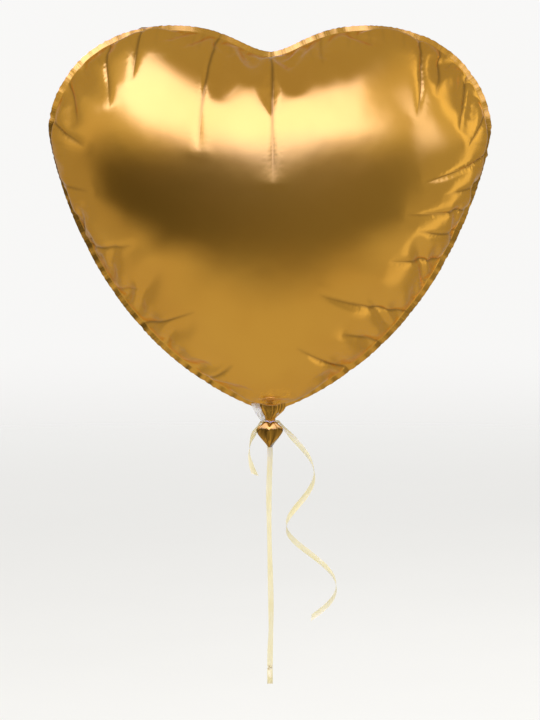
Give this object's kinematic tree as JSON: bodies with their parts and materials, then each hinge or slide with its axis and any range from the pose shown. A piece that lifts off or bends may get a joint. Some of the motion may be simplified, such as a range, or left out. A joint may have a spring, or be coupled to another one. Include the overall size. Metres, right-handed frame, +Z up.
{
  "type": "heart-shaped foil balloon",
  "caption": "Inflated heart-shaped metallic foil balloon with a sealed edge, a gathered neck and foil tail, and a knotted ribbon with curled ends and a loop.",
  "frame": {"origin": "centre of the tied loop at the lower end of the ribbon, by which the balloon is held", "axes": "+Z runs up the ribbon to the heart, the heart's front face looks along -Y, and +X is to the right seen from the front, along the loop's hole"},
  "size_m": [0.3912, 0.199, 0.5929],
  "materials": {
    "gold_foil": "satin metallised gold film",
    "clear_film": "clear slightly milky polythene film",
    "ribbon": "satin cream curling ribbon"
  },
  "bodies": {
    "anchor": {"anchor_loop": "ribbon", "anchor_knot": "ribbon"},
    "ribbon_low": {"ribbon_lower": "ribbon"},
    "ribbon_mid": {"ribbon_middle": "ribbon"},
    "ribbon_high": {"ribbon_upper": "ribbon"},
    "ribbon_end": {"ribbon_top": "ribbon"},
    "balloon": {"front_panel": "gold_foil", "back_panel": "gold_foil", "valve_neck_film": "clear_film", "valve_side_film": "clear_film", "ribbon_wrap": "ribbon", "ribbon_knot": "ribbon"},
    "tail_back": {"tail_back_flap": "gold_foil"},
    "tail_front": {"tail_front_flap": "gold_foil"},
    "curl_long": {"ribbon_curl_long": "ribbon"},
    "curl_short": {"ribbon_curl_short": "ribbon"},
    "valve_front": {"valve_front_film": "clear_film"},
    "valve_back": {"valve_back_film": "clear_film"}
  },
  "joints": [
    {"name": "ribbon_sway", "type": "hinge", "parent": "anchor", "child": "ribbon_low", "pos_m": [0, 0, 0.0085], "axis": [0, 1, 0], "range_deg": [-40, 40], "stiffness_Nm_per_rad": 0.12},
    {"name": "ribbon_bend", "type": "hinge", "parent": "ribbon_low", "child": "ribbon_mid", "pos_m": [0, 0, 0.08], "axis": [1, 0, 0], "range_deg": [-40, 40], "stiffness_Nm_per_rad": 0.1},
    {"name": "ribbon_twist", "type": "hinge", "parent": "ribbon_mid", "child": "ribbon_high", "pos_m": [0, 0, 0.14], "axis": [0, 0, 1], "range_deg": [-180, 180], "stiffness_Nm_per_rad": 0.001},
    {"name": "balloon_nod", "type": "hinge", "parent": "ribbon_high", "child": "ribbon_end", "pos_m": [0, 0, 0.188], "axis": [1, 0, 0], "range_deg": [-35, 35], "stiffness_Nm_per_rad": 0.08},
    {"name": "balloon_lean", "type": "hinge", "parent": "ribbon_end", "child": "balloon", "pos_m": [0, 0.0073, 0.234], "axis": [0, 1, 0], "range_deg": [-35, 35], "stiffness_Nm_per_rad": 0.07},
    {"name": "tail_lift", "type": "hinge", "parent": "balloon", "child": "tail_back", "pos_m": [0, -0.00655, 0.2344], "axis": [-1, 0, 0], "range_deg": [0, 70], "stiffness_Nm_per_rad": 0.002},
    {"name": "tail_open", "type": "hinge", "parent": "tail_back", "child": "tail_front", "pos_m": [0, -0.0074, 0.2344], "axis": [-1, 0, 0], "range_deg": [0, 20], "stiffness_Nm_per_rad": 0.002},
    {"name": "long_curl_swing", "type": "hinge", "parent": "balloon", "child": "curl_long", "pos_m": [0.009, -0.001, 0.233], "axis": [0, 1, 0], "range_deg": [-60, 5], "stiffness_Nm_per_rad": 0.004},
    {"name": "short_curl_swing", "type": "hinge", "parent": "balloon", "child": "curl_short", "pos_m": [-0.009, -0.001, 0.233], "axis": [0, 1, 0], "range_deg": [-5, 60], "stiffness_Nm_per_rad": 0.002},
    {"name": "valve_flex", "type": "hinge", "parent": "balloon", "child": "valve_front", "pos_m": [0, 0, 0.2545], "axis": [1, 0, 0], "range_deg": [-15, 15], "stiffness_Nm_per_rad": 0.004},
    {"name": "valve_open", "type": "hinge", "parent": "valve_front", "child": "valve_back", "pos_m": [0, 0, 0.2545], "axis": [-1, 0, 0], "range_deg": [0, 8], "stiffness_Nm_per_rad": 0.004}
  ]
}
